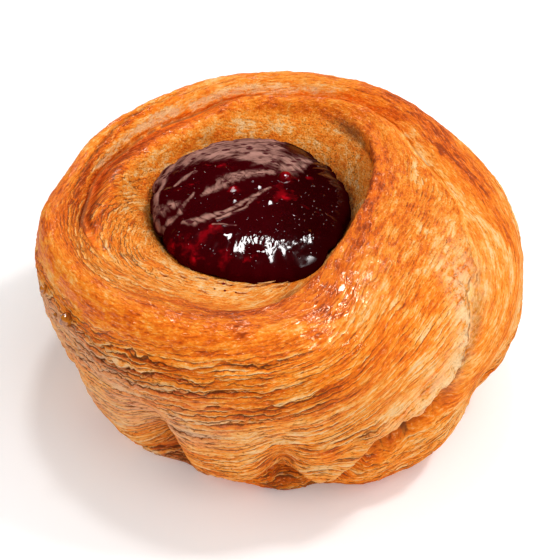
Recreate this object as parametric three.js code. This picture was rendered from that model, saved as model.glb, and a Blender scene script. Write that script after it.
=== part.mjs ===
// Danish pastry with a jam centre: a strip of laminated dough wound in two turns and baked in a
// small fluted tin. Millimetres, +Z up, the flat foot on z = 0 with its centre at the origin.
// Directions around it are degrees from +X towards +Y: 0 right, 90 back, 180 left, 270 front.
import * as THREE from 'three';
import { ParametricGeometry } from 'three/addons/geometries/ParametricGeometry.js';

// Rails run all the way round the pastry, from the foot's edge up over the rim and down into the
// bowl. Each has a mean radius and height. A swell moves it out and a lift moves it up by an
// amount, at a direction, over a width in degrees. Flute is how far a groove of the tin cuts it.
const FOOT_RAIL = {
  radius: 36.0, height: 0, flute: 3.0, toe: true, swells: [[2.0, 298, 20], [-1.8, 252, 15], [-2.2, 283, 9]],
};
const TOE_RAIL = {
  radius: 38.8, height: 2.2, flute: 4.4, toe: true,
  swells: [[0.8, 0, 55], [2.0, 300, 20], [-1.8, 252, 15], [-2.4, 283, 9], [-0.7, 215, 25]],
};
const LOW_WALL_RAIL = {
  radius: 44.3, height: 9.5, flute: 7.2,
  swells: [[1.0, 0, 55], [1.2, 302, 20], [-0.8, 252, 14], [-1.2, 282, 9], [-2.0, 329, 10], [-0.6, 215, 25]],
};
const MID_WALL_RAIL = {
  radius: 47.7, height: 20.0, flute: 4.2, swells: [[0.6, 0, 55], [-1.4, 327, 9], [0.5, 341, 8]],
};
const BELLY_RAIL = {
  radius: 48.9, height: 30.0, lifts: [[-3.0, 0, 55]],
  swells: [[-0.6, 270, 50], [0.6, 0, 55], [-1.0, 8, 22], [0.6, 192, 20]],
};
const SHOULDER_RAIL = {
  radius: 48.0, height: 39.5, lifts: [[-1.5, 0, 55]],
  swells: [[-1.2, 270, 50], [-1.6, 0, 55], [1.2, 180, 50], [-1.8, 140, 32], [-1.4, 166, 14], [0.6, 192, 18]],
};
const CREST_RAIL = {
  radius: 44.2, height: 45.4, lifts: [[0.8, 270, 50], [-0.4, 0, 55]],
  swells: [
    [-2.2, 270, 50], [-11.0, 0, 55], [3.9, 180, 50], [0.6, 90, 50], [-2.9, 143, 28], [1.0, 60, 25],
    [-2.6, 169, 14], [1.3, 50, 24],
  ],
};
// The inner turn and the bowl are centred behind and left of the foot.
const BOWL_CENTRE = { x: -7.0, y: 8.0 };
const LIP_RAIL = {
  radius: 27.4, height: 42.4, bowl: true, lifts: [[3.3, 335, 60], [2.2, 265, 30]],
  swells: [[-2.2, 348, 40], [1.6, 38, 25], [2.0, 55, 20], [15.0, 268, 30], [9.0, 220, 28]],
};
const BOWL_WALL_RAIL = {
  radius: 24.2, height: 39.6, bowl: true, lifts: [[1.0, 265, 30], [2.6, 345, 58]],
  swells: [[0.2, 348, 48], [1.2, 38, 25], [1.6, 55, 20], [12.0, 272, 28], [7.0, 225, 30]],
};
const JAM_SEAT_RAIL = { radius: 20.6, height: 35.5, bowl: true, swells: [[0.9, 90, 50], [0.9, 270, 50]] };
const BOWL_FLOOR_RAIL = { radius: 16.5, height: 29.5, bowl: true };
const BOWL_DEPTH_HEIGHT = 27.5;

const RAILS = [
  FOOT_RAIL, TOE_RAIL, LOW_WALL_RAIL, MID_WALL_RAIL, BELLY_RAIL, SHOULDER_RAIL, CREST_RAIL,
  LIP_RAIL, BOWL_WALL_RAIL, JAM_SEAT_RAIL, BOWL_FLOOR_RAIL,
];
// Rows of facets from the foot's centre to the first rail, between rails, and to the bowl's centre.
const ROWS_BETWEEN_RAILS = [1, 2, 4, 5, 5, 5, 5, 8, 4, 4, 3, 2];
const PASTRY_COLUMNS = 120;

// Flutes pressed into the wall by the tin, shallow where the outer turn ends at the front right.
const FLUTE_COUNT = 11;
const FLUTE_START = 270;
const FLUTE_WIDTH = 6.0;
const SMOOTH_SIDE = { amount: 0.9, direction: 315, width: 38 };
const TOE_FRONT_WIDTH = 50;

// The crease between the two turns starts in the ramp at the left, runs clockwise over the back,
// falls down the right side and ends under the front. Its place is counted in rails.
const CREASE_START = 222;
const CREASE_RAIL = 7.62;
const CREASE_FALLS = [
  [-0.33, 95, 118], [0.18, 148, 170], [-0.10, 170, 195], [-0.55, 195, 222], [0.20, 75, 25], [0.62, 30, -6],
  [0.43, -5, -33], [1.70, -33, -53], [0.60, -50, -66], [-0.34, -55, -72], [1.70, -64, -82],
];
const CREASE_DEPTH = 3.0;
const CREASE_OPENS = [221, 182];
const CREASE_SHALLOWS = [70, 10];
const CREASE_SHALLOW_SHARE = 0.7;
const CREASE_DEEPENS = [-36, -56];
const CREASE_DEEPENING = 2.6;
const CREASE_CLOSES = [-68, -118];
// At the front groove the crease arches over the foot.
const ARCH = { amount: 0.25, direction: 270, width: 12 };
const ARCH_FROM = [0, -60];
// Widths of the cut below and above its bottom.
const CREASE_WIDTH_BELOW = 5.0;
const CREASE_WIDTH_ABOVE = 3.6;
// A hollow lies under the edge that overlaps at the lower right.
const HOLLOW = { direction: 300, reach: 12, drop: 3.6, spread: 3.2, depth: 3.2 };
// The roll of dough that leans over the crease.
const ROLL_SHARE = 0.3;
const ROLL_OFFSET = 7.0;
const ROLL_WIDTH = 4.0;

// Edges of the dough's layers, standing out as low steps along the outer wall.
const LAYER_PITCH = 7.6;
const LAYER_RELIEF = 0.3;
const LAYER_WAVE = 2.4;
const LAYER_WAVES_ROUND = 3;
const LAYERS_FROM_RAIL = 2.4;
const LAYERS_FULL_RAIL = 3.2;
const LAYERS_FADE_RAIL = 6.2;
const LAYERS_TO_RAIL = 7.2;

// Jam: it fills the bowl up to an edge on the bowl's wall and domes above it. At the front right it
// has run further up the wall, and elsewhere its edge stands clear by a share of its radius.
const JAM_GAP = 0.4;
const JAM_EDGE_RAIL = 9.8;
const JAM_OVERRUN = { amount: 0.75, direction: 308, width: 22 };
const JAM_CLEARINGS = [[0.085, 200, 34], [0.03, 15, 45], [0.05, 42, 22], [0.025, 125, 25]];
const JAM_TOP_HEIGHT = 42.4;
const JAM_EDGE_ROUNDING = 0.62;
const JAM_CROWN = 0.9;
const JAM_LUMP = 0.45;
const JAM_LUMP_WAVES = [[0.31, 0.12, 0.4], [-0.17, 0.38, 1.9], [0.22, -0.29, 3.1]];
const JAM_COLUMNS = 56;
const JAM_ROWS_UNDER = 7;
const JAM_ROWS_DOME = 11;

const CRUST_COLOUR = 0xc47a35;
const JAM_COLOUR = 0x4a0a14;

const RADIANS = Math.PI / 180;
const LAST_RAIL = RAILS.length + 1;
const TANGENT_STEP = 0.02;

// A smooth bump of height 1 at one direction.
function bell(direction, centre, width) {
  const turn = THREE.MathUtils.euclideanModulo(direction - centre + 180, 360) - 180;
  return Math.exp(-((turn / width) ** 2));
}

// A smooth step from 0 at one value to 1 at another, in either order.
function ramp(value, from, to) {
  const t = THREE.MathUtils.clamp((value - from) / (to - from), 0, 1);
  return t * t * (3 - 2 * t);
}

function sumOfBells(bells, direction) {
  return (bells ?? []).reduce(
    (sum, [amount, centre, width]) => sum + amount * bell(direction, centre, width),
    0,
  );
}

// How much of a groove's depth there is at a direction, from 0 on a lobe to 1 in a groove.
function fluting(direction) {
  const pitch = 360 / FLUTE_COUNT;
  const turn = THREE.MathUtils.euclideanModulo(direction - FLUTE_START + pitch / 2, pitch) - pitch / 2;
  const smooth = SMOOTH_SIDE.amount * bell(direction, SMOOTH_SIDE.direction, SMOOTH_SIDE.width);
  return Math.exp(-((turn / FLUTE_WIDTH) ** 2)) * (1 - smooth);
}

function railPoint(rail, direction) {
  const toeFront = rail.toe ? 1 - bell(direction, FLUTE_START, TOE_FRONT_WIDTH) : 1;
  const groove = (rail.flute ?? 0) * fluting(direction) * toeFront;
  const radius = rail.radius - groove + sumOfBells(rail.swells, direction);
  return new THREE.Vector3(
    (rail.bowl ? BOWL_CENTRE.x : 0) + radius * Math.cos(direction * RADIANS),
    (rail.bowl ? BOWL_CENTRE.y : 0) + radius * Math.sin(direction * RADIANS),
    rail.height + sumOfBells(rail.lifts, direction),
  );
}

// One radial section of the smooth body, from the foot's centre to the bowl's centre.
function section(direction) {
  const points = RAILS.map((rail) => railPoint(rail, direction));
  const foot = new THREE.Vector3(0, 0, 0);
  const bowl = new THREE.Vector3(BOWL_CENTRE.x, BOWL_CENTRE.y, BOWL_DEPTH_HEIGHT);
  return new THREE.CatmullRomCurve3([foot, ...points, bowl], false, 'centripetal');
}

// The section's outward normal, in the upright plane of that direction. It is upright at the centre.
function sectionNormal(curve, rail, direction) {
  if (rail === LAST_RAIL) {
    return new THREE.Vector3(0, 0, 1);
  }
  const before = curve.getPoint(Math.max(rail - TANGENT_STEP, 0) / LAST_RAIL);
  const after = curve.getPoint(Math.min(rail + TANGENT_STEP, LAST_RAIL) / LAST_RAIL);
  const along = after.sub(before);
  const outward = along.x * Math.cos(direction * RADIANS) + along.y * Math.sin(direction * RADIANS);
  const length = Math.hypot(outward, along.z);
  return new THREE.Vector3(
    (along.z / length) * Math.cos(direction * RADIANS),
    (along.z / length) * Math.sin(direction * RADIANS),
    -outward / length,
  );
}

// Where the crease lies at a direction, in rails, and how deep it is.
function crease(direction) {
  const wound = THREE.MathUtils.euclideanModulo(direction - CREASE_START, 360) + CREASE_START - 360;
  const falls = CREASE_FALLS.reduce((sum, [amount, from, to]) => sum + amount * ramp(wound, from, to), 0);
  const back = CREASE_DEPTH * ramp(wound, ...CREASE_OPENS)
    * (1 - CREASE_SHALLOW_SHARE * ramp(wound, ...CREASE_SHALLOWS));
  const right = CREASE_DEEPENING * ramp(wound, ...CREASE_DEEPENS);
  const arch = ARCH.amount * bell(direction, ARCH.direction, ARCH.width) * ramp(wound, ...ARCH_FROM);
  return { rail: CREASE_RAIL - falls + arch, depth: (back + right) * (1 - ramp(wound, ...CREASE_CLOSES)) };
}

// Depth of the hollow at a distance below the crease.
function hollowDepth(direction, below) {
  const across = Math.exp(-(((below - HOLLOW.drop) / HOLLOW.spread) ** 2));
  return HOLLOW.depth * bell(direction, HOLLOW.direction, HOLLOW.reach) * across;
}

// Height of the crease, its leaning roll and its hollow at a point of a section.
function creaseRelief(curve, point, rail, direction) {
  const { rail: bottom, depth } = crease(direction);
  const distance = point.distanceTo(curve.getPoint(bottom / LAST_RAIL)) * Math.sign(rail - bottom);
  const width = distance < 0 ? CREASE_WIDTH_BELOW : CREASE_WIDTH_ABOVE;
  const cut = depth * Math.exp(-((distance / width) ** 2));
  const roll = ROLL_SHARE * depth * Math.exp(-(((distance - ROLL_OFFSET) / ROLL_WIDTH) ** 2));
  return distance < 0 ? roll - cut - hollowDepth(direction, -distance) : roll - cut;
}

// Height of the layers' edges at a point of the outer wall.
function layerRelief(point, rail, direction) {
  const shown = ramp(rail, LAYERS_FROM_RAIL, LAYERS_FULL_RAIL) * ramp(rail, LAYERS_TO_RAIL, LAYERS_FADE_RAIL);
  const wave = LAYER_WAVE * Math.sin(LAYER_WAVES_ROUND * direction * RADIANS);
  return LAYER_RELIEF * shown * Math.sin((2 * Math.PI * (point.z + wave)) / LAYER_PITCH);
}

// A point of the pastry's surface, lifted off it by a clearance.
function pastryPoint(direction, rail, clearance, target) {
  const curve = section(direction);
  const point = curve.getPoint(rail / LAST_RAIL);
  const onWall = ramp(rail, 1, 2);
  const relief = onWall * (creaseRelief(curve, point, rail, direction) + layerRelief(point, rail, direction));
  const lift = relief + clearance;
  if (lift !== 0) {
    point.addScaledVector(sectionNormal(curve, rail, direction), lift);
  }
  point.z = Math.max(point.z, 0);
  return target.copy(point);
}

// The rail number reached after a share of all the rows of facets.
function railAtRow(share) {
  let left = share * ROWS_BETWEEN_RAILS.reduce((sum, rows) => sum + rows, 0);
  let rail = 0;
  while (rail < LAST_RAIL - 1 && left > ROWS_BETWEEN_RAILS[rail]) {
    left -= ROWS_BETWEEN_RAILS[rail];
    rail += 1;
  }
  return rail + left / ROWS_BETWEEN_RAILS[rail];
}

// Splits each four-sided facet along the diagonal that climbs the way the crease does.
function splitWithCrease(geometry, columns, rows) {
  const index = [];
  for (let row = 0; row < rows; row += 1) {
    for (let column = 0; column < columns; column += 1) {
      const low = row * (columns + 1) + column;
      const high = low + columns + 1;
      index.push(low, low + 1, high + 1, low, high + 1, high);
    }
  }
  return geometry.setIndex(index);
}

function pastryGeometry() {
  const rows = ROWS_BETWEEN_RAILS.reduce((sum, count) => sum + count, 0);
  const surface = new ParametricGeometry(
    (around, up, target) => pastryPoint(360 * around, railAtRow(up), 0, target),
    PASTRY_COLUMNS,
    rows,
  );
  return splitWithCrease(surface, PASTRY_COLUMNS, rows);
}

// Draws a point in towards the upright line through the bowl's centre.
function drawIn(point, share) {
  point.x = THREE.MathUtils.lerp(BOWL_CENTRE.x, point.x, share);
  point.y = THREE.MathUtils.lerp(BOWL_CENTRE.y, point.y, share);
  return point;
}

// A point of the jam: its underside follows the bowl a gap above it, its top is a lumpy dome.
function jamPoint(direction, share, target) {
  const underShare = JAM_ROWS_UNDER / (JAM_ROWS_UNDER + JAM_ROWS_DOME);
  const overrun = JAM_OVERRUN.amount * bell(direction, JAM_OVERRUN.direction, JAM_OVERRUN.width);
  const edgeRail = JAM_EDGE_RAIL - overrun;
  const width = 1 - sumOfBells(JAM_CLEARINGS, direction);
  if (share <= underShare) {
    const rail = LAST_RAIL - (share / underShare) * (LAST_RAIL - edgeRail);
    return drawIn(pastryPoint(direction, rail, JAM_GAP, target), width);
  }
  const climb = ((share - underShare) / (1 - underShare)) * (Math.PI / 2);
  const inward = Math.max(Math.cos(climb), 0) ** JAM_EDGE_ROUNDING;
  drawIn(pastryPoint(direction, edgeRail, JAM_GAP, target), width * inward);
  const lumps = JAM_LUMP_WAVES.reduce(
    (sum, [across, deep, phase]) => sum + Math.sin(across * target.x + deep * target.y + phase),
    0,
  );
  const crown = Math.sin(climb) ** JAM_CROWN;
  target.z = THREE.MathUtils.lerp(target.z, JAM_TOP_HEIGHT, crown) + JAM_LUMP * crown * lumps;
  return target;
}

function jamGeometry() {
  return new ParametricGeometry(
    (around, up, target) => jamPoint(360 * around, up, target),
    JAM_COLUMNS,
    JAM_ROWS_UNDER + JAM_ROWS_DOME,
  );
}

const danish = new THREE.Group();
const crust = new THREE.MeshStandardMaterial({ color: CRUST_COLOUR, roughness: 0.55, metalness: 0 });
const jam = new THREE.MeshStandardMaterial({ color: JAM_COLOUR, roughness: 0.12, metalness: 0 });

const pastryMesh = new THREE.Mesh(pastryGeometry(), crust);
pastryMesh.name = 'pastry';
danish.add(pastryMesh);

const jamMesh = new THREE.Mesh(jamGeometry(), jam);
jamMesh.name = 'jam';
danish.add(jamMesh);

export default danish;
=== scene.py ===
import math

import bpy
import numpy as np
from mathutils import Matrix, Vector


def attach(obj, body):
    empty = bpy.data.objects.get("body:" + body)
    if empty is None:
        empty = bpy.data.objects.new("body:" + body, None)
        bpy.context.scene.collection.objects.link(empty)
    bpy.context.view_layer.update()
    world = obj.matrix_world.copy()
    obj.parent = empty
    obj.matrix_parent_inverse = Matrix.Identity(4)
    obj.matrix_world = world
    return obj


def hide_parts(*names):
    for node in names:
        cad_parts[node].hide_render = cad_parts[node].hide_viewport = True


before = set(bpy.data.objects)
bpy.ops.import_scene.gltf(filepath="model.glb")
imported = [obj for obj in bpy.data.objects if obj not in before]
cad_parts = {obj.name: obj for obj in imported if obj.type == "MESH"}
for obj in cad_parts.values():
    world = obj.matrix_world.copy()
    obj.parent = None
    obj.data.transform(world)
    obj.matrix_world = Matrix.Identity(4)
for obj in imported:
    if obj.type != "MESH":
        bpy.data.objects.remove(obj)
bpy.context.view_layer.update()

mm = 0.001  # shapes below are worked out in millimetres, meshes are in metres


# small helpers for shapes

def bell(direction, centre, width):  # bump of height 1 at one direction, all in degrees
    turn = (direction - centre + 180) % 360 - 180
    return np.exp(-(turn / width) ** 2)


def ramp(value, start, end):  # smooth step, either way round
    t = np.clip((value - start) / (end - start), 0, 1)
    return t * t * (3 - 2 * t)


def hump(value, centre, width):
    return np.exp(-((value - centre) / width) ** 2)


def sumOfBells(bells, direction):
    return sum((amount * bell(direction, centre, width) for amount, centre, width in bells), 0 * direction)


latticeSide = 64
latticeTable = np.random.default_rng(7).random((latticeSide,) * 3)


def grainAt(x, y, z):  # smooth value noise, 0 to 1, one cell per unit
    x, y, z = np.broadcast_arrays(x, y, z)
    cells = [np.floor(c).astype(int) for c in (x, y, z)]
    parts = [c - f for c, f in zip((x, y, z), cells)]
    parts = [p * p * p * (p * (6 * p - 15) + 10) for p in parts]
    total = 0
    for corner in np.ndindex(2, 2, 2):
        weight = 1
        for part, side in zip(parts, corner):
            weight = weight * (part if side else 1 - part)
        index = tuple((c + side) % latticeSide for c, side in zip(cells, corner))
        total = total + weight * latticeTable[index]
    return total


def layeredGrain(x, y, z, octaves=3):  # several octaves, still 0 to 1
    total, reach = 0, 0
    for step in range(octaves):
        size, weight = 2 ** step, 0.5 ** (step + 1)
        total = total + weight * grainAt(x * size + 11.3 * step, y * size + 5.7 * step, z * size + 3.1 * step)
        reach += weight
    return total / reach


# the wound dough: rails round the pastry, in millimetres, foot to bowl

dough = dict(
    bowl=(-7.0, 8.0),
    bowlDepth=27.5,
    rails=[
        dict(radius=36.0, height=0.0, flute=3.0, toe=True,
             swells=[(2.0, 298, 20), (-1.8, 252, 15), (-2.2, 283, 9)]),
        dict(radius=38.8, height=2.2, flute=4.4, toe=True,
             swells=[(0.8, 0, 55), (2.0, 300, 20), (-1.8, 252, 15), (-2.4, 283, 9), (-0.7, 215, 25)]),
        dict(radius=44.3, height=9.5, flute=7.2,
             swells=[(1.0, 0, 55), (1.2, 302, 20), (-0.8, 252, 14), (-1.2, 282, 9), (-2.0, 329, 10),
                     (-0.6, 215, 25)]),
        dict(radius=47.7, height=20.0, flute=4.2, swells=[(0.6, 0, 55), (-1.4, 327, 9), (0.5, 341, 8)]),
        dict(radius=48.9, height=30.0, lifts=[(-3.0, 0, 55)],
             swells=[(-0.6, 270, 50), (0.6, 0, 55), (-1.0, 8, 22), (0.6, 192, 20)]),
        dict(radius=48.0, height=39.5, lifts=[(-1.5, 0, 55)],
             swells=[(-1.2, 270, 50), (-1.6, 0, 55), (1.2, 180, 50), (-1.8, 140, 32),
                     (-1.4, 166, 14), (0.6, 192, 18)]),
        dict(radius=44.2, height=45.4, lifts=[(0.8, 270, 50), (-0.4, 0, 55)],
             swells=[(-2.2, 270, 50), (-11.0, 0, 55), (3.9, 180, 50), (0.6, 90, 50), (-2.9, 143, 28),
                     (1.0, 60, 25), (-2.6, 169, 14), (1.3, 50, 24)]),
        dict(radius=27.4, height=42.4, bowl=True, lifts=[(3.3, 335, 60), (2.2, 265, 30)],
             swells=[(-2.2, 348, 40), (1.6, 38, 25), (2.0, 55, 20), (15.0, 268, 30), (9.0, 220, 28)]),
        dict(radius=24.2, height=39.6, bowl=True, lifts=[(1.0, 265, 30), (2.6, 345, 58)],
             swells=[(0.2, 348, 48), (1.2, 38, 25), (1.6, 55, 20), (12.0, 272, 28), (7.0, 225, 30)]),
        dict(radius=20.6, height=35.5, bowl=True, swells=[(0.9, 90, 50), (0.9, 270, 50)]),
        dict(radius=16.5, height=29.5, bowl=True),
    ],
    flutes=11, fluteStart=270, fluteWidth=6.0, smoothSide=(0.9, 315, 38), toeFront=50,
    columns=424,
    rowsBetweenRails=[1, 4, 30, 36, 34, 34, 28, 46, 8, 6, 4, 2],
)
lastRail = len(dough["rails"]) + 1

crease = dict(  # the fold between the two turns, its place counted in rails
    start=222, rail=7.62,
    falls=[(-0.33, 95, 118), (0.18, 148, 170), (-0.10, 170, 195), (-0.55, 195, 222), (0.20, 75, 25),
           (0.62, 30, -6), (0.43, -5, -33), (1.70, -33, -53), (0.60, -50, -66), (-0.34, -55, -72),
           (1.70, -64, -82)],
    arch=(0.25, 270, 12), archFrom=(0, -60),
    depth=3.4, opens=(221, 182), shallows=(70, 10), shallowShare=0.72,
    deepens=(-44, -58), deepening=2.8, closes=(-68, -118),
    below=3.4, above=1.3, roll=0.42, rollAt=3.6, rollWidth=2.8,
    softer=(3.4, 342, 40),  # wider cut on the right, and where
    overhang=0.9,  # how far the edge of the overlap hangs down, and where
    overhangAt=dict(turn="inner", fromFold=(1.4, 1.3), rises=[("wound", -50, -58), ("wound", -118, -92)]),
    overhangThins=(0.8, -66, -84), overhangJag=(0.7, 1.2),
    raggedness=4.0, raggedFrom=(0, -40), edgeJag=5.0, partingJag=1.2,
    openDepth=2.5, deepDepth=3.0,  # where the fold counts as open, and as deep
    meet=(0.5, 1.3),  # the two turns' layers meet within this of the fold
    crumbFades=(-52, -44),  # crumb below the fold
)


def fluting(direction):
    pitch = 360 / dough["flutes"]
    turn = (direction - dough["fluteStart"] + pitch / 2) % pitch - pitch / 2
    return np.exp(-(turn / dough["fluteWidth"]) ** 2) * (1 - sumOfBells([dough["smoothSide"]], direction))


def railPoints(direction):  # columns x rails x 3
    across, along = np.cos(np.radians(direction)), np.sin(np.radians(direction))
    points = [np.zeros(direction.shape + (3,))]
    for rail in dough["rails"]:
        groove = rail.get("flute", 0) * fluting(direction)
        if rail.get("toe"):
            groove = groove * (1 - bell(direction, dough["fluteStart"], dough["toeFront"]))
        radius = rail["radius"] - groove + sumOfBells(rail.get("swells", []), direction)
        height = rail["height"] + sumOfBells(rail.get("lifts", []), direction)
        centre = dough["bowl"] if rail.get("bowl") else (0, 0)
        points.append(np.stack([centre[0] + radius * across, centre[1] + radius * along, height], -1))
    middle = np.array([*dough["bowl"], dough["bowlDepth"]])
    points.append(np.broadcast_to(middle, direction.shape + (3,)))
    return np.stack(points, 1)


def splineThrough(points, places):  # centripetal spline, places counted in rails
    first = 2 * points[:, :1] - points[:, 1:2]
    last = 2 * points[:, -1:] - points[:, -2:-1]
    full = np.concatenate([first, points, last], 1)
    span = np.clip(np.floor(places).astype(int), 0, points.shape[1] - 2)
    t = (places - span)[..., None]
    column = np.arange(len(points))[:, None]
    p0, p1, p2, p3 = (full[column, span + step] for step in range(4))

    def knot(a, b):
        return np.maximum(np.sum((a - b) ** 2, -1, keepdims=True), 1e-8) ** 0.25

    d0, d1, d2 = knot(p0, p1), knot(p1, p2), knot(p2, p3)
    m1 = ((p1 - p0) / d0 - (p2 - p0) / (d0 + d1) + (p2 - p1) / d1) * d1
    m2 = ((p2 - p1) / d1 - (p3 - p1) / (d1 + d2) + (p3 - p2) / d2) * d1
    c2 = 3 * (p2 - p1) - 2 * m1 - m2
    c3 = 2 * (p1 - p2) + m1 + m2
    return p1 + t * (m1 + t * (c2 + t * c3))


def woundDirection(direction):  # from the crease's start down a full turn clockwise
    return (direction - crease["start"]) % 360 + crease["start"] - 360


def creaseAt(direction):  # rail and depth of the crease
    wound = woundDirection(direction)
    rail = crease["rail"] - sum(amount * ramp(wound, a, b) for amount, a, b in crease["falls"])
    rail = rail + sumOfBells([crease["arch"]], direction) * ramp(wound, *crease["archFrom"])
    depth = crease["depth"] * ramp(wound, *crease["opens"])
    depth = depth * (1 - crease["shallowShare"] * ramp(wound, *crease["shallows"]))
    depth = depth + crease["deepening"] * ramp(wound, *crease["deepens"])
    return rail, depth * (1 - ramp(wound, *crease["closes"]))


# where the layers run: distance down the dough from the ridge of its strip

layers = dict(
    innerTurns=[-138, -110, -90, -60, -30, 0, 60, 120, 160, 190, 222],
    innerRidge=[7.0, 7.2, 7.5, 7.85, 8.0, 8.0, 8.0, 7.85, 7.5, 7.2, 7.0],
    outerTurns=[-500, -420, -400, -360, -330, -300, -138],
    outerRidge=[3.5, 4.2, 5.0, 6.3, 6.8, 7.0, 7.0],
    broad=dict(pitch=3.2, wander=2.8, shiver=0.7, uneven=1.8, fray=0.9, step=0.70, drop=0.14, runs=6, seed=30,
               torn=0.30, scallops=13),
    fine=dict(pitch=1.05, wander=2.0, shiver=0.35, uneven=0.5, fray=0.22, step=0.36, drop=0.36, runs=12, seed=52,
              torn=0.32, scallops=22),
    swirl=(5, 9, 9.0), shiver=(18, 9, 3.0), fray=(16, 7, 2.6),  # grain round the dough, its seed, its height
    radius=45,  # taken for lengths round the dough
    numberStep=7.37,  # keeps the grain of neighbouring layers apart
    crowded=(0.42, 0.2),  # lines too close for the mesh are left to the finish
    tornFray=2.4, gapDepth=0.9, tornDepth=0.5,
    gaps=[  # where layers have parted: direction, reach, distance down, spread
        (256, 16, 15.5, 1.5), (263, 7, 10.6, 1.2), (262, 13, 21.4, 1.4), (276, 10, 20.0, 1.2), (246, 9, 26.5, 1.3),
        (222, 12, 11.0, 1.6), (230, 10, 14.0, 1.5), (212, 9, 17.0, 1.5), (336, 6, 25.0, 1.5), (310, 8, 27.0, 1.2),
        (185, 18, 16.0, 1.5), (150, 20, 20.0, 1.5), (120, 16, 14.0, 1.5), (90, 22, 24.0, 1.5), (58, 16, 17.0, 1.5),
        (20, 18, 22.0, 1.5),
    ],
)

# parts of the dough that are treated alike: turn, direction and reach, then humps and rises across the dough
zones = dict(
    side=dict(rises=[("down", 3.0, 10.0), ("rail", 1.2, 2.0)]),
    rolled=dict(turn="inner", at=(332, 60), rises=[("rail", 4.2, 5.6)]),  # roll on the right
    ramped=dict(at=(205, 62), rises=[("rail", 7.1, 7.5), ("rail", 9.9, 9.3)]),  # ramp into the bowl
    streaked=dict(turn="outer", at=(20, 60), rises=[("rail", 3, 5)]),  # outer turn, its streaks follow the strip
    calm=dict(at=(352, 56), fromFold=(0, 2.4)),  # beside the fold on the right
    bare=dict(at=(200, 15), rises=[("down", 10.5, 13), ("rail", 6.6, 6.3)]),
    torn=dict(at=(221, 30), down=(13, 6.5)),  # ragged edges on the left
    crumbly=dict(at=(315, 20), fromEdge=(3.2, 5.2)),  # edge of the overlap
    parting=dict(turn="outer", at=(148, 46), fromParting=(-5.4, 0.45)),  # thin line along the rim
    rimSwell=dict(turn="outer", at=(148, 50), fromFold=(-2.7, 1.6)),
    pocket=dict(turn="outer", at=(300, 13), fromFold=(-3.4, 3.0)),  # hollow under the overlap
    lowSide=dict(turn="inner", rises=[("down", 17, 27), ("rail", 1.6, 2.6)], below=6.5, spare=[(0.85, 315, 45)]),
    bowlWall=dict(rises=[("fromLip", 0.3, 4.0)], below=10.5),
    blister=dict(theta=(273.5, 4.2), down=(5.0, 2.6)),  # on the front crest
)

forms = dict(  # how far each stands out of the dough, or goes in, in millimetres
    pocket=-4.0, parting=-0.55, rimSwell=0.5, blister=0.9, lump=0.5, pit=0.40, crumbPit=3.4,
    lumpSize=3.2, pitSize=1.1,
    lip=dict(rail=8.0, at=(355, 55), height=0.9, edge=(-0.4, 1.3), undercut=(2.2, 1.6), undercutShare=1.2),
)

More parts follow.
